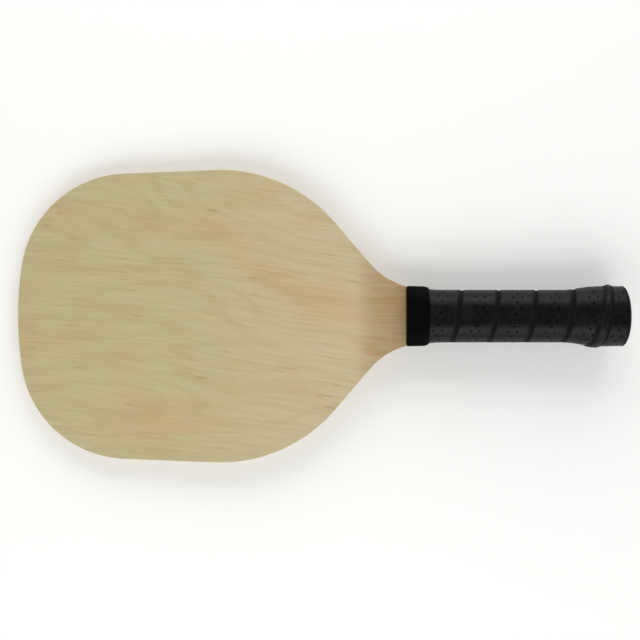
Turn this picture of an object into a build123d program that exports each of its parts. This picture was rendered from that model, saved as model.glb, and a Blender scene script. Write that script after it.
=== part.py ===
from build123d import *
from math import asin, cos, degrees, radians, sin, sqrt, tan
import os

# Pickleball paddle: a seven-ply wooden blade and tang, two handle scales glued to the tang,
# a moulded butt cap, a cushioned grip tape and a rubber collar over its front end.
# +X runs from the blade's tip to the butt, +Y across the blade, +Z out of the front face.
# The origin is the bottom centre of the paddle lying level.

# Overall sizes
overall_length = 380.0
blade_width = 182.0
handle_length = 138.0  # from the scales' front ends to the top of the cap's dome

# Blade outline: tangent arcs and straight runs, the same on both sides
tip_radius = 215.0
corner_radius = 67.0
shoulder_radius = 93.0
throat_radius = 45.0
side_slope = radians(2.2)  # the blade widens towards the handle
shoulder_slope = radians(49.6)
neck_slope = radians(14.0)
neck_half_width = 18.4

# Plies, from the front: face, crossband, longband, core, longband, crossband, face
face_ply = 1.0
inner_ply = 1.5
inner_ply_names = ["crossband_front", "longband_front", "core_veneer", "longband_back", "crossband_back"]
edge_ease = 0.8  # rounding of the blade's outer edges
bond_depth = 0.2  # the face plies are milled this deep where the scales are glued on

# Handle core: the tang between its two scales, a rounded octagon across the handle
core_width = 29.2
core_thickness = 26.5
core_rounding = 5.0
scale_end_ease = 1.5  # bevel round the scales' front ends

# Grip tape, from the inside out
adhesive_thickness = 0.15
backing_thickness = 0.85
skin_thickness = 0.8
tape_bridge = 5.0  # length over which the tape climbs onto the cap's lip
tape_start_rise = 0.5  # the tape's first turn lies double at the cap's peak

# Rubber collar over the front end of the grip tape
collar_thickness = 0.7
collar_length = 13.5
collar_rear_rounding = 0.4
collar_gap = 0.3  # between the collar's lip and the shoulder of the milled face
tape_lap = 2.8  # how far the grip tape runs in under the collar

# Finishing tape, all under the collar: it slants up from the wood onto the grip tape
finish_thickness = 0.15
finish_setback = 2.0  # from the scales' front ends
finish_cover = 0.8  # how far the collar reaches past it

# Butt cap
cap_skirt = 34.0  # from the cap's front lip to the top of its dome
cap_lip_rise = 0.6
cap_shoulder_rise = 2.0
cap_peak_rise = 2.5
cap_tail_rise = 2.2
cap_shoulder_back = 25.5  # from the top of the dome forward
cap_peak_back = 15.0
cap_rim = 4.7  # bare rim behind the tape, with the dome
cap_rim_rise = 4.4
cap_rim_rounding = 4.0
cap_dome_radius = 59.0
cap_end_wall = 3.0

# Staples
staple_width = 10.0
staple_wire = 1.2
staple_thickness = 0.6
staple_leg = 8.0
cap_staple_backs = [20.0, 11.0]  # from the top of the dome forward
cap_staple_sink = 1.0  # bottom of the crown above the scale
tape_staple_back = 12.0
tape_staple_sink = 0.6  # bottom of the crown above the cap's peak

# Places along the handle that follow from the sizes above
tip_x = -overall_length / 2
butt_x = overall_length / 2
neck_x = butt_x - handle_length
tang_half_width = core_width / 2
taper_end_x = neck_x + (neck_half_width - tang_half_width) / tan(neck_slope)
wood_end_x = butt_x - cap_end_wall
collar_front_x = neck_x - collar_thickness
collar_rear_x = collar_front_x + collar_length
bond_front_x = collar_front_x - collar_gap
tape_front_x = collar_rear_x - tape_lap
finish_front_x = neck_x + finish_setback
finish_rear_x = collar_rear_x - finish_cover
cap_lip_x = butt_x - cap_skirt
rim_x = butt_x - cap_rim

# Heights that follow: the flare of the taped butt is the lowest place
tape_thickness = adhesive_thickness + backing_thickness + skin_thickness
core_half = core_thickness / 2
mid_z = core_half + cap_peak_rise + tape_thickness + tape_start_rise
inner_count = len(inner_ply_names)
inner_half = inner_ply * inner_count / 2
blade_half = inner_half + face_ply
tang_half = blade_half - bond_depth
core_bevel = core_half - blade_half - core_rounding * tan(radians(22.5))  # starts above the tang
far = overall_length + blade_width  # longer than anything a cut has to pass


# ---------- helpers

def block(x_low, x_high, z_low, z_high, half_width=far):
    size = (x_high - x_low, 2 * half_width, z_high - z_low)
    return Pos((x_low + x_high) / 2, 0, (z_low + z_high) / 2) * Box(*size)


def core_half_width(x):
    return max(tang_half_width, neck_half_width - (x - neck_x) * tan(neck_slope))


# One section across the handle: the core's octagon at x, grown evenly by grow.
def section(x, grow):
    wide = core_half_width(x) + grow
    high = core_half + grow
    bevel = core_bevel + grow * (2 - sqrt(2))
    corner = [(wide, high - bevel), (wide - bevel, high)]
    upper = corner + [(-y, z) for y, z in reversed(corner)]
    lower = [(-y, -z) for y, z in upper]
    outline = Polygon(*upper, *lower, align=None)
    outline = fillet(outline.vertices(), core_rounding + grow)
    return Plane(origin=(x, 0, mid_z), x_dir=(0, 1, 0), z_dir=(1, 0, 0)) * outline


# Adds the place where the core's taper ends to a list of (x, grow) stations that spans it.
def with_taper_end(stations):
    whole = stations[:1]
    for (x_before, before), (x_after, after) in zip(stations, stations[1:]):
        if x_before < taper_end_x < x_after:
            share = (taper_end_x - x_before) / (x_after - x_before)
            whole.append((taper_end_x, before + (after - before) * share))
        whole.append((x_after, after))
    return whole


# A solid through the sections at a list of (x, grow) stations.
def handle_body(stations):
    return loft([section(x, grow) for x, grow in with_taper_end(stations)], ruled=True)


# Stations that round a body's end off by a quarter circle: inward is 1 at its front, -1 at its rear.
def rounded_end(x, grow, radius, inward):
    turns = [radians(15 * step) for step in range(7)][::inward]
    return [(x + inward * radius * (1 - cos(turn)), grow - radius * (1 - sin(turn))) for turn in turns]


def grown(stations, amount):
    return [(x, grow + amount) for x, grow in stations]


def shell(stations, inside, outside):
    return handle_body(grown(stations, outside)) - handle_body(grown(stations, inside))


# ---------- blade and tang

# Works out the tangent points from the named radii and slopes. The straight run at the
# shoulder takes up what is left between the shoulder arc and the neck.
def blade_outline():
    widest_y = blade_width / 2 - shoulder_radius
    throat_drop = throat_radius * (cos(neck_slope) - cos(shoulder_slope))
    run_drop = widest_y + shoulder_radius * cos(shoulder_slope) - throat_drop - neck_half_width
    run = run_drop / sin(shoulder_slope)
    throat_reach = throat_radius * (sin(shoulder_slope) - sin(neck_slope))
    reach = shoulder_radius * sin(shoulder_slope) + run * cos(shoulder_slope) + throat_reach
    shoulder_centre = Vector(neck_x - reach, widest_y)
    tip_centre = Vector(tip_x + tip_radius, 0)

    # the corner arc touches the tip arc from inside and the sloping side from below
    side_normal = Vector(-sin(side_slope), cos(side_slope))
    offset = (shoulder_centre - Vector(tip_x, 0)).dot(side_normal) + shoulder_radius - corner_radius
    spread = asin((offset + tip_radius * sin(side_slope)) / (tip_radius - corner_radius)) - side_slope
    corner_centre = tip_centre + Vector(-cos(spread), sin(spread)) * (tip_radius - corner_radius)

    shoulder_end = shoulder_centre + Vector(sin(shoulder_slope), cos(shoulder_slope)) * shoulder_radius
    throat_start = shoulder_end + Vector(cos(shoulder_slope), -sin(shoulder_slope)) * run
    throat_centre = throat_start + Vector(sin(shoulder_slope), cos(shoulder_slope)) * throat_radius
    neck = Vector(neck_x, neck_half_width)
    tang_start = Vector(taper_end_x, tang_half_width)
    tang_end = Vector(wood_end_x, tang_half_width)

    slope = degrees(side_slope)
    turn = degrees(shoulder_slope)
    lift = degrees(spread)
    half = [
        CenterArc(corner_centre, corner_radius, 90 + slope, 90 - slope - lift),
        Line(corner_centre + side_normal * corner_radius, shoulder_centre + side_normal * shoulder_radius),
        CenterArc(shoulder_centre, shoulder_radius, 90 - turn, turn + slope),
        Line(shoulder_end, throat_start),
        CenterArc(throat_centre, throat_radius, 270 - turn, turn - degrees(neck_slope)),
        Line(neck, tang_start),
        Line(tang_start, tang_end),
    ]
    tip = CenterArc(tip_centre, tip_radius, 180 - lift, 2 * lift)
    end = Line(tang_end, Vector(wood_end_x, -tang_half_width))
    other_half = [mirror(edge, about=Plane.XZ).edge() for edge in half]
    return make_face([tip, end] + half + other_half)


def plate(outline, low, thickness):
    return Pos(0, 0, mid_z + low) * extrude(outline, thickness)


# The front face ply: eased along the blade's edge and milled thinner under the handle.
def face_veneer(outline):
    thin = plate(outline, inner_half, face_ply - bond_depth)
    tang = thin & block(bond_front_x, wood_end_x, mid_z, mid_z + blade_half)
    blade = plate(outline, inner_half, face_ply) & block(tip_x, bond_front_x, mid_z, mid_z + blade_half)
    face = blade.faces().sort_by(Axis.Z)[-1]
    rim = face.edges().sort_by(lambda edge: edge.center().X)[:-1]
    return fillet(rim, edge_ease) + tang


def inner_plies(outline):
    plies = {}
    for number, name in enumerate(inner_ply_names):
        plies[name] = plate(outline, inner_half - (number + 1) * inner_ply, inner_ply)
    return plies


# ---------- handle scales

scale_stations = [
    (neck_x, -scale_end_ease),
    (neck_x + scale_end_ease, 0),
    (wood_end_x, 0),
]


def handle_scale():
    above = block(neck_x, wood_end_x, mid_z + tang_half, mid_z + core_thickness)
    return handle_body(scale_stations) & above


# ---------- butt cap

cap_stations = [
    (cap_lip_x, cap_lip_rise),
    (butt_x - cap_shoulder_back, cap_shoulder_rise),
    (butt_x - cap_peak_back, cap_peak_rise),
    (rim_x, cap_tail_rise),
]


def butt_cap():
    skirt = handle_body(cap_stations)
    sides = butt_x - 3 * cap_rim_rounding  # the end block starts in front of its rounding
    end = handle_body([(sides, cap_rim_rise), (butt_x, cap_rim_rise)])
    end = end & Pos(butt_x - cap_dome_radius, 0, mid_z) * Sphere(cap_dome_radius)
    dome = end.faces().filter_by(GeomType.SPHERE)[0]
    end = fillet(dome.edges(), cap_rim_rounding) & block(rim_x, butt_x, mid_z - far, mid_z + far)
    pocket = handle_body([(cap_lip_x, 0), (wood_end_x, 0)])
    return skirt + end - pocket


# ---------- staples

# A staple driven down from above: its crown lies along Y and its legs reach down.
def staple():
    crown = Pos(0, 0, staple_thickness / 2) * Box(staple_wire, staple_width, staple_thickness)
    leg = Box(staple_wire, staple_thickness, staple_leg)
    side = (staple_width - staple_thickness) / 2
    legs = [Pos(0, y, -staple_leg / 2) * leg for y in (-side, side)]
    return crown + legs[0] + legs[1]


# Room above a crown, so that the layer it was driven into closes over it.
def crown_room(depth):
    return Pos(0, 0, depth / 2) * Box(staple_wire, staple_width, depth)


def front_cap_places():
    crown_z = mid_z + core_half + cap_staple_sink
    return [Pos(butt_x - back, 0, crown_z) for back in cap_staple_backs]


def tape_staple_place():
    crown_y = tang_half_width + cap_peak_rise + tape_staple_sink
    across = Plane(origin=(butt_x - tape_staple_back, crown_y, mid_z), x_dir=(0, 0, 1), z_dir=(0, 1, 0))
    return across.location


# ---------- grip

taped_stations = [
    (tape_front_x, 0),
    (cap_lip_x - tape_bridge, 0),
] + cap_stations

# the skin's outside, with the tape's first turn under it at the cap's peak
skin_outside = [
    (x, grow + tape_thickness + (tape_start_rise if grow == cap_peak_rise else 0))
    for x, grow in taped_stations
]

finish_stations = [
    (finish_front_x, 0),
    (tape_front_x, tape_thickness),
    (finish_rear_x, tape_thickness),
]


def rubber_collar(outline):
    over_finish = grown(finish_stations, finish_thickness)
    rest_rise = over_finish[-1][1]
    inner = scale_stations[:2] + over_finish + [(collar_rear_x, rest_rise)]
    front_rounding = scale_end_ease + collar_thickness
    outer = rounded_end(collar_front_x, collar_thickness, front_rounding, 1)
    outer += grown(over_finish, collar_thickness)
    outer += rounded_end(collar_rear_x, rest_rise + collar_thickness, collar_rear_rounding, -1)
    blade = plate(outline, -tang_half, 2 * tang_half)
    return handle_body(outer) - handle_body(inner) - blade


# ---------- build and write

def to_back(shape):
    return mirror(shape, about=Plane.XY.offset(mid_z))


outline = blade_outline()
parts = {"face_veneer_front": face_veneer(outline)}
parts.update(inner_plies(outline))
parts["face_veneer_back"] = to_back(parts["face_veneer_front"])

# layers of the tape, each over the one before
adhesive_out = adhesive_thickness
backing_out = adhesive_out + backing_thickness
skin_out = backing_out + skin_thickness
parts["grip_adhesive"] = shell(taped_stations, 0, adhesive_out)
parts["grip_backing"] = shell(taped_stations, adhesive_out, backing_out)
parts["grip_skin"] = handle_body(skin_outside) - handle_body(grown(taped_stations, backing_out))
parts["finishing_tape"] = shell(finish_stations, 0, finish_thickness)
parts["rubber_collar"] = rubber_collar(outline)

# each cap staple takes its own room out of the cap and the scale
front_staples = [place * staple() for place in front_cap_places()]
crown_rooms = [place * crown_room(cap_peak_rise) for place in front_cap_places()]
scale = handle_scale()
cap = butt_cap()
for driven, room in zip(front_staples, crown_rooms):
    scale = scale - driven
    cap = cap - driven - room - to_back(driven) - to_back(room)
parts["handle_scale_front"] = scale
parts["handle_scale_back"] = to_back(scale)
parts["butt_cap_staples"] = Compound(front_staples + [to_back(driven) for driven in front_staples])

# the tape's staple goes through the tape and the cap into the core ply
tape_staple = tape_staple_place() * staple()
tape_room = tape_staple_place() * crown_room(skin_out)
for name in ["grip_adhesive", "grip_backing", "grip_skin", "core_veneer"]:
    parts[name] = parts[name] - tape_staple - tape_room
parts["butt_cap"] = cap - tape_staple - tape_room
parts["tape_start_staple"] = tape_staple

os.makedirs("parts", exist_ok=True)
for name, shape in parts.items():
    export_step(shape, f"parts/{name}.step")
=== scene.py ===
import math

import bmesh
import bpy
from mathutils import Matrix, Vector, noise


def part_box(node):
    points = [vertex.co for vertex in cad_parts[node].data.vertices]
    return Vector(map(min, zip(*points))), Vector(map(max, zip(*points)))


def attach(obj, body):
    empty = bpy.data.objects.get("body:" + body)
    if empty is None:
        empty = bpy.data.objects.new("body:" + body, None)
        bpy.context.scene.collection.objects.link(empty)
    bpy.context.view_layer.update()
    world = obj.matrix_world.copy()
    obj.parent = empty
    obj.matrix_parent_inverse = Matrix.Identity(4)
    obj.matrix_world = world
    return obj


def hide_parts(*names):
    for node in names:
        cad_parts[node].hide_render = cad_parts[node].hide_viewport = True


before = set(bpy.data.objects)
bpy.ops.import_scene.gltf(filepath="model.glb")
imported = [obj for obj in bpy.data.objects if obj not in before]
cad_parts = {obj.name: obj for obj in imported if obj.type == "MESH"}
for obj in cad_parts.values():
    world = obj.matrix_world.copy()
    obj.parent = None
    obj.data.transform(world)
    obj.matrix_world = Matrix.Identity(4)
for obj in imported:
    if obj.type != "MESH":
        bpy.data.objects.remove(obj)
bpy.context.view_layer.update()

mm = 0.001
scene = bpy.context.scene

# every place follows from the CAD nodes' own boxes
skinLow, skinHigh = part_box("grip_skin")
collarLow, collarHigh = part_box("rubber_collar")
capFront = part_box("butt_cap")[0].x
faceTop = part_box("face_veneer_front")[1].z
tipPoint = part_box("face_veneer_back")[0]
handleZ = (skinLow.z + skinHigh.z) / 2
print("places ready")


def smoothStep(value, start, end):
    part = min(max((value - start) / (end - start), 0.0), 1.0)
    return part * part * (3 - 2 * part)


def linear(hexColour):
    channels = [int(hexColour[i:i + 2], 16) / 255 for i in (0, 2, 4)]
    return [c / 12.92 if c <= 0.04045 else ((c + 0.055) / 1.055) ** 2.4 for c in channels] + [1.0]


def addNode(tree, kind, output=None, links=None, **settings):
    # gives back the named output, or the node itself
    node = tree.nodes.new("ShaderNode" + kind)
    for name, value in settings.items():
        setattr(node, name, value)
    for socket, value in (links or {}).items():
        if isinstance(value, bpy.types.NodeSocket):
            tree.links.new(value, node.inputs[socket])
        else:
            node.inputs[socket].default_value = value
    return node if output is None else node.outputs[output]


def newMaterial(name, surface):
    material = bpy.data.materials.new(name)
    material.use_nodes = True
    tree = material.node_tree
    tree.nodes.clear()
    shader = addNode(tree, "BsdfPrincipled", links=surface)
    addNode(tree, "OutputMaterial", links={"Surface": shader.outputs["BSDF"]})
    return material, tree, shader


def readPatterns(tree, patterns):
    # each is: where it is read, its size along x, y and z, its detail and its roughness
    found = {}
    for name, (where, size, detail, roughness) in patterns.items():
        sized = addNode(tree, "Mapping", "Vector", {"Vector": where, "Scale": [1 / s for s in size]})
        found[name] = addNode(tree, "TexNoise", "Fac", {
            "Vector": sized, "Scale": 1.0, "Detail": detail, "Roughness": roughness})
    return found


# what a smooth ramp takes in: a value, from and to where it follows it, and what that becomes
ramp = ("Value", "From Min", "From Max", "To Min", "To Max")


def layColours(tree, colour, layers):
    # each layer comes in as its pattern goes from start to end, up to its amount
    for pattern, start, end, amount, hexColour in layers:
        share = addNode(tree, "MapRange", "Result", dict(zip(ramp, (pattern, start, end, 0.0, amount))),
                        interpolation_type="SMOOTHSTEP")
        colour = addNode(tree, "Mix", 2, {0: share, 6: colour, 7: linear(hexColour)},
                         data_type="RGBA", clamp_factor=True)
    return colour


def finishSurface(tree, shader, colour, roughness=None, height=None, strength=0.0, depth=0.0):
    tree.links.new(colour, shader.inputs["Base Color"])
    if roughness:
        tree.links.new(roughness, shader.inputs["Roughness"])
    if height:
        bump = addNode(tree, "Bump", "Normal", {"Height": height, "Strength": strength, "Distance": depth})
        tree.links.new(bump, shader.inputs["Normal"])


faceWood = {
    "blade": "C4B98E",      # sapwood, a little greener towards the tip
    "throat": "CFC09D",     # rosier towards the handle
    "throatSpan": (-120 * mm, 60 * mm),
    "streak": "AE9360",     # long darker fibres
    "line": "B09664",       # growth lines
    "pink": "CDA679",       # warm patches
    "collarShade": "9C7444",    # painted shade that the collar and the raised handle cast on the throat
    "fleck": "A0784E",      # short and reddish, in a few places only
    "streakSize": (40 * mm, 1.7 * mm, 1.7 * mm),
    "fibreSize": (22 * mm, 0.8 * mm, 0.8 * mm),      # drawn coarser than real fibres so that they show
    "fleckSize": (16 * mm, 1.7 * mm, 1.7 * mm),
    "patchSize": (75 * mm, 30 * mm, 30 * mm),
    "mottleSize": (28 * mm, 13 * mm, 13 * mm),
    "figureSize": (150 * mm, 34 * mm, 34 * mm),      # the long swell that the growth lines follow
    "figureLines": 9.0,
    "wanderSize": (150 * mm, 80 * mm, 80 * mm),
    "wander": 24 * mm,      # how far the grain strays across the blade
    "downhill": (-200 * mm, 70 * mm, 0.0, 25 * mm),  # from and to where, and how far it runs down
    "collarShadeNear": (17 * mm, 33 * mm, 0.0, 0.46),    # painted shade: from and to where, and how dark
    "collarShadeClose": (28 * mm, 47 * mm, 0.0, 0.14),
}


def makeFaceWood():
    # maple veneer, peeled, sanded and left nearly bare: pale, low in contrast, silky, no hard gloss
    material, tree, shader = newMaterial("sandedMapleVeneer", {"Specular IOR Level": 0.3})
    place = addNode(tree, "TexCoord", "Object")
    apart = addNode(tree, "SeparateXYZ", links={"Vector": place}).outputs

    # the grain runs downhill on the blade, straight near the handle, and wanders a little
    wander = readPatterns(tree, {"wander": (place, faceWood["wanderSize"], 1.0, 0.5)})["wander"]
    lean = addNode(tree, "MapRange", "Result", dict(zip(ramp, (apart["X"], *faceWood["downhill"]))),
                   interpolation_type="SMOOTHSTEP")
    leaning = addNode(tree, "Math", 0, {0: wander, 1: faceWood["wander"], 2: lean}, operation="MULTIPLY_ADD")
    level = addNode(tree, "Math", 0, {0: apart["Y"], 1: leaning}, operation="ADD")
    sheet = addNode(tree, "CombineXYZ", "Vector", {"X": apart["X"], "Y": level, "Z": apart["Z"]})
    seen = readPatterns(tree, {
        "swell": (sheet, faceWood["figureSize"], 1.5, 0.45),
        "streaks": (sheet, faceWood["streakSize"], 4.0, 0.6),
        "fibres": (sheet, faceWood["fibreSize"], 4.0, 0.65),
        "patches": (sheet, faceWood["patchSize"], 2.0, 0.5),
        "mottle": (sheet, faceWood["mottleSize"], 2.0, 0.5),
        "flecks": (sheet, faceWood["fleckSize"], 1.5, 0.5),
    })

    # faint growth lines: contours of the swell, closing into cathedrals here and there
    phase = addNode(tree, "Math", 0, {0: seen["swell"], 1: faceWood["figureLines"] * 2 * math.pi},
                    operation="MULTIPLY")
    lines = addNode(tree, "Math", 0, {0: phase}, operation="SINE")
    colour = layColours(tree, linear(faceWood["blade"]), [
        (apart["X"], *faceWood["throatSpan"], 1.0, faceWood["throat"]),
        (seen["patches"], 0.52, 0.74, 0.42, faceWood["pink"]),
        (seen["mottle"], 0.45, 0.75, 0.22, faceWood["pink"]),
        (lines, 0.1, 1.0, 0.15, faceWood["line"]),
        (seen["streaks"], 0.42, 0.80, 0.31, faceWood["streak"]),
        (seen["fibres"], 0.40, 0.75, 0.23, faceWood["streak"]),
        (seen["flecks"], 0.64, 0.82, 0.45, faceWood["fleck"]),
    ])
    near, close, uneven, roughness = [
        addNode(tree, "MapRange", "Result", dict(zip(ramp, row)), interpolation_type="SMOOTHSTEP")
        for row in (
            (apart["X"], *faceWood["collarShadeNear"]),
            (apart["X"], *faceWood["collarShadeClose"]),
            (seen["streaks"], 0.35, 0.7, -0.12, 0.12),
            (seen["fibres"], 0.3, 0.7, 0.50, 0.62),
        )]
    # painted shade in front of the collar, where the raised handle shades the throat; the streaks break it
    # up a little
    collarShade = addNode(tree, "Math", 0, {0: near, 1: close}, operation="ADD")
    collarShadeAmount = addNode(tree, "Math", 0, {0: uneven, 1: collarShade, 2: collarShade}, operation="MULTIPLY_ADD")
    colour = addNode(tree, "Mix", 2, {0: collarShadeAmount, 6: colour, 7: linear(faceWood["collarShade"])},
                     data_type="RGBA", clamp_factor=True)
    finishSurface(tree, shader, colour, roughness, seen["fibres"], 0.25, 0.05 * mm)
    return material


sawnWood = {
    # name: size of its fibres, then pale wood, dark wood and blotches
    # birch cut across its fibres: darker, with open pores
    "crossGrainBirchVeneer": ((0.8 * mm, 25 * mm, 0.8 * mm), "B89B69", "94744A", "7C5E3A"),
    # birch cut along its fibres: pale and streaky
    "longGrainBirchVeneer": ((25 * mm, 0.8 * mm, 0.8 * mm), "D8C79C", "BFA777", "AE9468"),
    # poplar straight from the saw: dull, soft and greenish grey
    "sawnPoplarScale": ((25 * mm, 0.8 * mm, 0.8 * mm), "CDBB8E", "B29A6B", "A08A62"),
}


def makeSawnWood(name):
    # raw wood off the saw: no gloss, and the fibres stand up a little
    fibreSize, pale, dark, blotch = sawnWood[name]
    material, tree, shader = newMaterial(name, {"Roughness": 0.7, "Specular IOR Level": 0.25})
    place = addNode(tree, "TexCoord", "Object")
    seen = readPatterns(tree, {
        "fibres": (place, fibreSize, 4.0, 0.6),
        "blotches": (place, (30 * mm, 30 * mm, 10 * mm), 2.0, 0.5),
    })
    colour = layColours(tree, linear(pale), [
        (seen["fibres"], 0.35, 0.7, 1.0, dark), (seen["blotches"], 0.45, 0.75, 0.5, blotch)])
    finishSurface(tree, shader, colour, None, seen["fibres"], 0.4, 0.08 * mm)
    return material


blacks = {
    # name: body, dust, roughness, gloss, grain size and its depth
    # ABS moulded in a spark-eroded tool: satin, with a fine even grain
    "mouldedBlackAbs": ("050505", "090909", 0.6, 0.14, 0.5 * mm, 0.04 * mm),
    # vinyl pulled tight: smooth and slightly shiny
    "stretchedBlackVinylTape": ("0E0E0F", "161617", 0.35, 0.5, 1.5 * mm, 0.05 * mm),
    # rubber from a smooth mould: matt, it swallows the light
    "smoothBlackRubber": ("030303", "050505", 0.75, 0.05, 0.4 * mm, 0.02 * mm),
    # steel wire dipped in lacquer: dark and half-matt, so it doesn't wink through the tape's holes
    "blackLacqueredStapleWire": ("08080A", "121214", 0.5, 0.3, 0.4 * mm, 0.02 * mm),
    # foam skived from a block: dull open cells
    "blackFoamBacking": ("060606", "0A0A0A", 0.9, 0.05, 0.3 * mm, 0.1 * mm),
}


def makeBlack(name):
    # an even black body with a little dust and a fine grain
    body, dust, roughness, gloss, grain, depth = blacks[name]
    material, tree, shader = newMaterial(name, {"Specular IOR Level": gloss})
    place = addNode(tree, "TexCoord", "Object")
    seen = readPatterns(tree, {
        "clouds": (place, (12 * mm, 12 * mm, 12 * mm), 3.0, 0.5),
        "grain": (place, (grain, grain, grain), 2.0, 0.5),
    })
    colour = layColours(tree, linear(body), [(seen["clouds"], 0.3, 0.75, 1.0, dust)])
    uneven = (seen["clouds"], 0.3, 0.7, roughness - 0.05, roughness + 0.05)
    rough = addNode(tree, "MapRange", "Result", dict(zip(ramp, uneven)), interpolation_type="SMOOTHSTEP")
    finishSurface(tree, shader, colour, rough, seen["grain"], 0.5, depth)
    return material


def makeSteel():
    # galvanised staple wire: dull grey metal, streaked along the wire by the zinc
    material, tree, shader = newMaterial("galvanisedStapleWire", {"Metallic": 1.0})
    place = addNode(tree, "TexCoord", "Object")
    streaks = readPatterns(tree, {"streaks": (place, (3 * mm, 0.4 * mm, 0.4 * mm), 3.0, 0.5)})["streaks"]
    colour = addNode(tree, "Mix", 2, {0: streaks, 6: linear("8C9094"), 7: linear("B9BCBE")},
                     data_type="RGBA", clamp_factor=True)
    rough = addNode(tree, "MapRange", "Result", dict(zip(ramp, (streaks, 0.3, 0.7, 0.3, 0.5))),
                    interpolation_type="SMOOTHSTEP")
    finishSurface(tree, shader, colour, rough)
    return material


def makeFilm():
    # acrylic adhesive, rolled on as a film: milky, tacky and smeared
    material, tree, shader = newMaterial("milkyAdhesiveFilm", {
        "Roughness": 0.35, "Subsurface Weight": 0.2, "Subsurface Scale": 0.5 * mm})
    place = addNode(tree, "TexCoord", "Object")
    smears = readPatterns(tree, {"smears": (place, (6 * mm, 6 * mm, 6 * mm), 3.0, 0.5)})["smears"]
    colour = addNode(tree, "Mix", 2, {0: smears, 6: linear("C9C6B8"), 7: linear("E2E0D6")},
                     data_type="RGBA", clamp_factor=True)
    finishSurface(tree, shader, colour)
    return material


gripLook = {
    "body": "0A0B0C",       # between the grain
    "worn": "101112",       # slightly polished by hands
    "seam": "050505",       # pressed edges, partly real and partly painted shade in the seam valleys
    "grain": 0.9 * mm,      # embossed leather grain, drawn a little coarse so that it shows
    "cloudSize": (18 * mm, 12 * mm, 12 * mm),
    "roughness": 0.40,
    "edgeRoughness": 0.4,   # added on the pressed edges
    "gloss": 0.18,
}


def makeSkin():
    # polyurethane leather, embossed with a fine hide grain: a soft broad sheen, never wet
    material, tree, shader = newMaterial("embossedPolyurethaneLeather", {
        "Specular IOR Level": gripLook["gloss"]})
    flat = addNode(tree, "UVMap", "UV", uv_map="tape")
    sized = addNode(tree, "Mapping", "Vector", {"Vector": flat, "Scale": [1 / gripLook["grain"]] * 3})
    cells = addNode(tree, "TexVoronoi", "Distance", {"Vector": sized, "Scale": 1.0, "Smoothness": 0.6},
                    feature="SMOOTH_F1")
    place = addNode(tree, "TexCoord", "Object")
    clouds = readPatterns(tree, {"clouds": (place, gripLook["cloudSize"], 3.0, 0.5)})["clouds"]
    edge = addNode(tree, "Attribute", "Fac", attribute_name="pressedEdgeAndShade")
    colour = layColours(tree, linear(gripLook["body"]), [(clouds, 0.35, 0.7, 1.0, gripLook["worn"])])
    # darker on the pressed edges, partly real and partly painted shade, and painted shade over the edge of
    # the turn beneath
    colour = addNode(tree, "Mix", 2, {0: edge, 6: colour, 7: linear(gripLook["seam"])},
                     data_type="RGBA", clamp_factor=True)
    uneven = (clouds, 0.3, 0.7, gripLook["roughness"] - 0.05, gripLook["roughness"] + 0.05)
    rough = addNode(tree, "MapRange", "Result", dict(zip(ramp, uneven)), interpolation_type="SMOOTHSTEP")
    edgeRough = addNode(tree, "Math", 0, {0: edge, 1: gripLook["edgeRoughness"], 2: rough},
                        operation="MULTIPLY_ADD")
    finishSurface(tree, shader, colour, edgeRough, cells, 0.6, 0.15 * mm)
    return material


tape = {
    "width": 24.6 * mm,
    "pitch": 23.1 * mm,          # each turn lies 1.5 mm over the one before
    "startPitch": 15.5 * mm,     # the first turn lies closer, at the butt
    "startSway": 1.8 * mm,
    "seamSetback": 4.1 * mm,     # from the rim to the first seam on the +Y side
    "sway": 0.06,                # the hand's unevenness, in turns
    "swayShift": 0.2,
    "startSwayShift": 0.75,
    "startSwayFade": 0.3,
    "backing": (0.10 * mm, 0.85 * mm),   # foam at the edge and in the middle
    "skin": (0.20 * mm, 0.80 * mm),      # leather at the edge and in the middle
    "film": 0.15 * mm,
    "skived": 2.6 * mm,          # width over which the edges thin out
    "pressed": 0.22,             # how much two layers squash where they lie double
    "holeAlong": 7.4 * mm,
    "holeAcross": 1.35 * mm,     # column spacing, the outer rows lie two columns out
    "holeRadius": 0.6 * mm,
    "dimple": 0.12 * mm,
    "dimpleReach": 1.1 * mm,
    "creases": 0.25 * mm,        # where the tape lies double
    "creaseRate": (130, 260),    # per metre, along and across the tape
    "wobble": 0.2 * mm,          # how far the edges wander
    "wobbleRate": 45,
    "doubleBlend": 1 * mm,       # how softly a double stretch begins
    "leastDouble": 3 * mm,       # narrower overlaps aren't squashed
    "climb": (0.6 * mm, 0.5 * mm),       # ahead of and behind the edge that a turn climbs
    "edgeBand": (1.3 * mm, 3.0 * mm),    # pressed edges and painted seam shade up to here, and plain from there
    "edgeBandShift": 0.4 * mm,           # narrower on the side that shows
    "ridgeBand": (0.6 * mm, 1.9 * mm),   # painted shade over the edge of the turn beneath
    "edgeColumns": (0.0, 0.3 * mm, 0.7 * mm, 1.1 * mm, 1.55 * mm, 2.0 * mm, 2.4 * mm),
    "sharpFrom": 42.0,                   # degrees
}
grip = {
    "cornerRadius": 12.0 * mm,   # the foam rounds the octagon off
    "bevel": 7.5 * mm,
    "capRise": 2.5 * mm,         # of the butt cap at its peak
    "capPeak": 10.3 * mm,        # in front of the rim
    "capRunIn": 5.0 * mm,        # the tape starts to climb in front of the cap's lip
    "lipRise": 0.6 * mm,
    "shoulderRise": 2.0 * mm,
    "shoulder": 8.5 * mm,        # behind the lip
    "rimRise": 2.2 * mm,
    "rounding": 2 * mm,          # the tape softens the cap's corners over this
    "doubled": 0.5 * mm,         # what the doubled first turn adds
    "neckStart": 2.4 * mm,       # behind the collar
    "neckAngle": 14.0,
    "neckBlend": 3.0 * mm,
}

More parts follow.
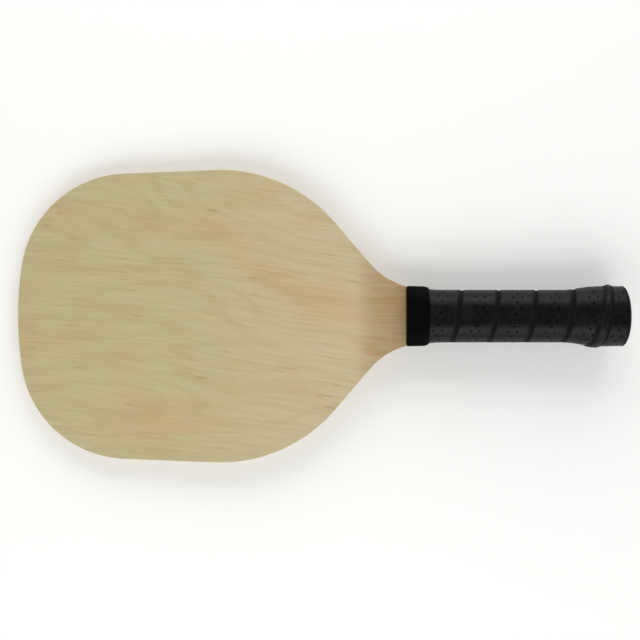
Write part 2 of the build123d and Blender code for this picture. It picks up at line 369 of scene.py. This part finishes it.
tapeThick = tape["film"] + tape["backing"][1] + tape["skin"][1]
outerHalfWidth = skinHigh.y - grip["capRise"] - grip["doubled"]
outerHalfThick = skinHigh.z - handleZ - grip["capRise"] - grip["doubled"]
cutBack = grip["cornerRadius"] * math.tan(math.pi / 8)
sideRun = 2 * (outerHalfThick - grip["bevel"] - cutBack)
slopeRun = grip["bevel"] * math.sqrt(2) - 2 * cutBack
faceRun = 2 * (outerHalfWidth - grip["bevel"] - cutBack)
cornerRun = grip["cornerRadius"] * math.pi / 4
outlineRuns = [(sideRun / 2, False)]
for nextRun in (slopeRun, faceRun, slopeRun, sideRun, slopeRun, faceRun, slopeRun, sideRun / 2):
    outlineRuns += [(cornerRun, True), (nextRun, False)]
outlineLength = sum(run for run, turning in outlineRuns)

capStations = [
    (capFront - grip["capRunIn"], 0.0), (capFront, grip["lipRise"]),
    (capFront + grip["shoulder"], grip["shoulderRise"]), (skinHigh.x - grip["capPeak"], grip["capRise"]),
    (skinHigh.x, grip["rimRise"])]


def straightRise(x):
    for (x0, rise0), (x1, rise1) in zip(capStations, capStations[1:]):
        if x0 <= x <= x1:
            return rise0 + (rise1 - rise0) * (x - x0) / (x1 - x0)
    return 0.0


def capRise(x):
    soft = grip["rounding"]
    return (straightRise(x - soft) + 2 * straightRise(x) + straightRise(min(x + soft, skinHigh.x))) / 4


def neckFlare(x):
    # the wood under the tape spreads towards the blade, and the foam softens where it starts
    before = collarHigh.x + grip["neckStart"] - x
    return math.tan(math.radians(grip["neckAngle"])) * (before + math.hypot(before, grip["neckBlend"])) / 2


def aroundHandle(part, grow):
    # walks the rounded octagon from the middle of its +Y side towards +Z
    left = (part % 1.0) * outlineLength
    y, z, heading = outerHalfWidth, 0.0, math.pi / 2
    radius = grip["cornerRadius"]
    for run, turning in outlineRuns:
        step = min(left, run)
        if turning:
            turned = heading + step / radius
            y += radius * (math.sin(turned) - math.sin(heading))
            z -= radius * (math.cos(turned) - math.cos(heading))
            heading = turned
        else:
            y += math.cos(heading) * step
            z += math.sin(heading) * step
        left -= step
        if left <= 0:
            break
    return y + grow * math.sin(heading), handleZ + z - grow * math.cos(heading)


rearEdge = skinHigh.x - tape["seamSetback"]


def sway(n):
    return tape["sway"] * math.sin(2 * math.pi * (n - tape["swayShift"]))


firstOver = 0.0   # where the tape leaves the rim, found by closing in on it
for guess in range(12):
    firstOver = sway(firstOver) - tape["seamSetback"] / tape["pitch"]
firstTurn = firstOver - 1.0
frontStart = (rearEdge - tape["width"] - skinLow.x) / tape["pitch"]
lastTurn = (rearEdge - skinLow.x) / tape["pitch"]


def startLine(n):
    return skinHigh.x - tape["width"] + tape["startPitch"] * (firstOver - n)


def bladeEdge(n):
    if n < firstOver:
        fade = 1 - smoothStep(n, firstOver - tape["startSwayFade"], firstOver)
        wave = math.sin(2 * math.pi * (n + tape["startSwayShift"]))
        return startLine(n) - fade * tape["startSway"] * wave
    return rearEdge - tape["width"] - tape["pitch"] * (n - sway(n))


def doubleness(n, across):
    # 1 where the next turn covers this one, or where this one covers the turn before
    over = bladeEdge(n + 1) + tape["width"] - bladeEdge(n)
    under = bladeEdge(n - 1) - bladeEdge(n) if n - 1 >= firstTurn else tape["width"] * 2
    blend = tape["doubleBlend"]
    ahead = 1 - smoothStep(across, over - blend, over + blend)
    behind = smoothStep(across, under - blend, under + blend)
    return max(ahead, behind) if max(over, tape["width"] - under) > tape["leastDouble"] else 0.0


def layerThick(layer, n, across):
    fromEdge = smoothStep(min(across, tape["width"] - across), 0.0, tape["skived"])
    thin, full = tape[layer]
    return thin + (full - thin) * fromEdge * (1 - tape["pressed"] * doubleness(n, across))


def stackUnder(n, x):
    # height of the turns wound before this one
    older = n - 1
    if older < firstTurn:
        return 0.0
    across = x - bladeEdge(older)
    ahead, behind = tape["climb"]
    if across < -ahead:
        return 0.0
    inside = min(max(across, 0.0), tape["width"])
    own = layerThick("backing", older, inside) + layerThick("skin", older, inside)
    return (own + stackUnder(older, x)) * smoothStep(across, -ahead, behind)


def edgeShade(n, across):
    # 1 on the pressed edges, partly real and partly painted shade in the seam valleys, and painted shade
    # where the edge of the turn beneath shows through
    own = min(across + tape["edgeBandShift"], tape["width"] - across)
    beneath = abs(bladeEdge(n) + across - bladeEdge(n - 1)) if n - 1 >= firstTurn else tape["width"]
    return 1 - min(smoothStep(own, *tape["edgeBand"]), smoothStep(beneath, *tape["ridgeBand"]))


def nearestHole(flat):
    # the perforation is a quincunx: two outer rows and a middle row half a step on
    step = tape["holeAlong"]
    centres = []
    for column, shift in ((-2, 0.0), (0, 0.5), (2, 0.0)):
        centres.append(Vector(((round(flat.x / step - shift) + shift) * step,
                               tape["width"] / 2 + column * tape["holeAcross"], flat.z)))
    return min(centres, key=lambda centre: (centre - flat).length)


def stripMesh(rowStep, holes):
    # the flat strip: x along the tape, y across it from the blade-side edge
    width = tape["width"]
    middle = [width / 2 + tape["holeAcross"] * k for k in range(-7, 8)]
    columns = [*tape["edgeColumns"], *middle, *(width - c for c in reversed(tape["edgeColumns"]))]
    start = math.floor(firstTurn * outlineLength / rowStep) * rowStep
    rows = math.ceil((lastTurn * outlineLength - start) / rowStep)
    bm = bmesh.new()
    bmesh.ops.create_grid(bm, x_segments=rows, y_segments=len(columns) - 1, size=0.5)
    for vertex in bm.verts:
        vertex.co.x = start + round((vertex.co.x + 0.5) * rows) * rowStep
        vertex.co.y = columns[round((vertex.co.y + 0.5) * (len(columns) - 1))]
    if holes:   # the grid has a vertex in the middle of each
        middles = [v for v in bm.verts if (nearestHole(v.co) - v.co).length < 0.05 * mm and
                   rowStep < v.co.x - start < (rows - 1) * rowStep]
        cut = bmesh.ops.bevel(bm, geom=middles, offset=tape["holeRadius"], offset_type="OFFSET", segments=2,
                              profile=0.5, affect="VERTICES", material=-1)
        rims = {v for face in cut["faces"] for v in face.verts}
        bmesh.ops.delete(bm, geom=cut["faces"], context="FACES")
        for vertex in rims:   # the bevel leaves a star, the punch a circle
            if vertex.is_valid:
                centre = nearestHole(vertex.co)
                vertex.co = centre + (vertex.co - centre).normalized() * tape["holeRadius"]
    # the start is cut square, the rim and the front are cut round the handle
    slopes = (
        ((firstTurn, 0.0), (1.0, 0.0), True),
        ((firstTurn, skinHigh.x - startLine(firstTurn)), (-tape["startPitch"], outlineLength), False),
        ((frontStart, 0.0), (-tape["pitch"], outlineLength), True),
    )
    for (turn, across), direction, clearInner in slopes:
        bmesh.ops.bisect_plane(
            bm, geom=bm.verts[:] + bm.edges[:] + bm.faces[:], dist=1e-7,
            plane_co=(turn * outlineLength, across, 0), plane_no=Vector((*direction, 0)).normalized(),
            clear_inner=clearInner, clear_outer=not clearInner)
    return bm


def windTape(name, layer, holes, rowStep):
    bm = stripMesh(rowStep, holes)
    bmesh.ops.recalc_face_normals(bm, faces=bm.faces)
    bmesh.ops.solidify(bm, geom=bm.faces[:], thickness=1.0)
    uvLayer = bm.loops.layers.uv.new("tape")
    for face in bm.faces:
        for loop in face.loops:
            loop[uvLayer].uv = loop.vert.co.xy
    shadeLayer = bm.verts.layers.float.new("pressedEdgeAndShade")
    lowest = min(v.co.z for v in bm.verts)
    for vertex in bm.verts:
        along, across, level = vertex.co.x, vertex.co.y, vertex.co.z - lowest
        n = along / outlineLength
        vertex[shadeLayer] = edgeShade(n, across)
        edgeSide = 1.0 if across > tape["width"] / 2 else 0.0
        nearEdge = abs(across / tape["width"] - 0.5) * 2
        spread = 1.0
        if n < firstOver:   # the first turn is trimmed along the rim
            spread = (skinHigh.x - bladeEdge(n)) / (skinHigh.x - startLine(n))
        x = bladeEdge(n) + across * spread
        wobble = noise.noise(Vector((along * tape["wobbleRate"], edgeSide * 9.3, 0)))   # each edge its own
        x += tape["wobble"] * nearEdge ** 6 * wobble
        x = min(max(x, skinLow.x), skinHigh.x)
        height = stackUnder(n, x) - (tapeThick - tape["film"]) + capRise(x)
        if layer == "skin":
            height += layerThick("backing", n, across)
            toHole = (nearestHole(Vector((along, across, 0))) - Vector((along, across, 0))).length
            height -= tape["dimple"] * math.exp(-(toHole / tape["dimpleReach"]) ** 2) * level
        height += layerThick(layer, n, across) * level
        alongRate, acrossRate = tape["creaseRate"]
        crease = noise.noise(Vector((along * alongRate, across * acrossRate, 3.1)))   # apart from the wobble
        y, z = aroundHandle(n, height + tape["creases"] * crease * doubleness(n, across))
        vertex.co = (x, y * (1 + neckFlare(x) / outerHalfWidth), z)
    mesh = bpy.data.meshes.new(name)
    bm.to_mesh(mesh)
    bm.free()
    mesh.shade_smooth()
    mesh.set_sharp_from_angle(angle=math.radians(tape["sharpFrom"]))
    piece = bpy.data.objects.new(name, mesh)
    scene.collection.objects.link(piece)
    return piece


skinPiece = windTape("wound_grip_skin", "skin", True, tape["holeAlong"] / 6)
backingPiece = windTape("wound_grip_backing", "backing", False, tape["holeAlong"] / 3)
for piece, node, slot in (
        (skinPiece, "grip_skin", "grip_leather"), (backingPiece, "grip_backing", "grip_foam")):
    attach(piece, "root")
    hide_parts(node)
print("tape wound:", len(skinPiece.data.polygons), "faces")

# the nodes that share a finish
finishes = [
    (makeFaceWood(), ["face_veneer_front", "face_veneer_back"]),
    (makeSawnWood("crossGrainBirchVeneer"), ["crossband_front", "core_veneer", "crossband_back"]),
    (makeSawnWood("longGrainBirchVeneer"), ["longband_front", "longband_back"]),
    (makeSawnWood("sawnPoplarScale"), ["handle_scale_front", "handle_scale_back"]),
    (makeBlack("mouldedBlackAbs"), ["butt_cap"]),
    (makeBlack("stretchedBlackVinylTape"), ["finishing_tape"]),
    (makeBlack("smoothBlackRubber"), ["rubber_collar"]),
    (makeBlack("blackLacqueredStapleWire"), ["tape_start_staple"]),
    (makeSteel(), ["butt_cap_staples"]),
    (makeFilm(), ["grip_adhesive"]),
]
for material, nodes in finishes:
    for node in nodes:
        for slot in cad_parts[node].material_slots:
            slot.material = material
skinPiece.data.materials.append(makeSkin())
backingPiece.data.materials.append(makeBlack("blackFoamBacking"))
print("materials set")

studio = {
    "floorSize": 6.0,
    "floorColour": "F4F4F2",
    "floorGlow": 0.16,           # a lit table, so that no part of it falls dark
    "collarFoot": 0.8 * mm,      # where the collar stands on it, in front of its rear end
    "softBoxWatts": 5.8,
    "softBoxSize": (1.3, 0.7),
    "softBoxes": {"softBoxLeft": (0.0, 0.85, 0.52), "softBoxRight": (0.0, -0.68, 0.72)},
    "horizon": 0.85,             # a pale studio with a dark ceiling
    "zenith": 0.07,
    "ceiling": (0.35, 0.90),     # the height at which it darkens, 1 is straight up
    "cameraHeight": 620 * mm,
    "viewWidth": 397.4 * mm,     # seen at the height of the face
    "aim": (-2.3 * mm, -2.4 * mm),
    "sensor": 36,
}

# the paddle lies on its blade's tip and on the collar, so the floor leans a little
collarPoint = Vector((collarHigh.x - studio["collarFoot"], 0, collarLow.z))
floorAngle = math.atan2(tipPoint.z - collarPoint.z, collarPoint.x - tipPoint.x)
bm = bmesh.new()
bmesh.ops.create_grid(bm, x_segments=1, y_segments=1, size=studio["floorSize"] / 2)
bmesh.ops.rotate(bm, verts=bm.verts, cent=(0, 0, 0), matrix=Matrix.Rotation(floorAngle, 3, "Y"))
bmesh.ops.translate(bm, verts=bm.verts, vec=collarPoint)
floorMesh = bpy.data.meshes.new("floor")
bm.to_mesh(floorMesh)
bm.free()
floor = bpy.data.objects.new("floor", floorMesh)
scene.collection.objects.link(floor)
# plain matt paper: even and white, with no shine
floorMaterial = newMaterial("matPaperFloor", {
    "Base Color": linear(studio["floorColour"]), "Roughness": 0.9, "Specular IOR Level": 0.1,
    "Emission Color": linear(studio["floorColour"]), "Emission Strength": studio["floorGlow"]})[0]
floorMesh.materials.append(floorMaterial)

for name, place in studio["softBoxes"].items():
    light = bpy.data.lights.new(name, "AREA")
    light.shape = "RECTANGLE"
    light.size, light.size_y = studio["softBoxSize"]
    light.energy = studio["softBoxWatts"]
    lamp = bpy.data.objects.new(name, light)
    lamp.location = place
    lamp.rotation_euler = (-Vector(place)).to_track_quat("-Z", "Y").to_euler()
    scene.collection.objects.link(lamp)

world = bpy.data.worlds.new("studio")
world.use_nodes = True
skyTree = world.node_tree
around = addNode(skyTree, "TexCoord", "Generated")
upward = addNode(skyTree, "SeparateXYZ", "Z", {"Vector": around})
darkening = (upward, *studio["ceiling"], studio["horizon"], studio["zenith"])
brightness = addNode(skyTree, "MapRange", "Result", dict(zip(ramp, darkening)),
                     interpolation_type="SMOOTHSTEP")
background = skyTree.nodes["Background"]
background.inputs["Color"].default_value = (1, 1, 1, 1)
skyTree.links.new(brightness, background.inputs["Strength"])
scene.world = world
scene.view_settings.view_transform = "Standard"

cameraData = bpy.data.cameras.new("camera")
cameraData.sensor_width = studio["sensor"]
cameraData.lens = studio["sensor"] * studio["cameraHeight"] / studio["viewWidth"]
cameraData.clip_start = 10 * mm
camera = bpy.data.objects.new("camera", cameraData)
camera.location = (*studio["aim"], faceTop + studio["cameraHeight"])
scene.collection.objects.link(camera)
scene.camera = camera
print("studio ready")
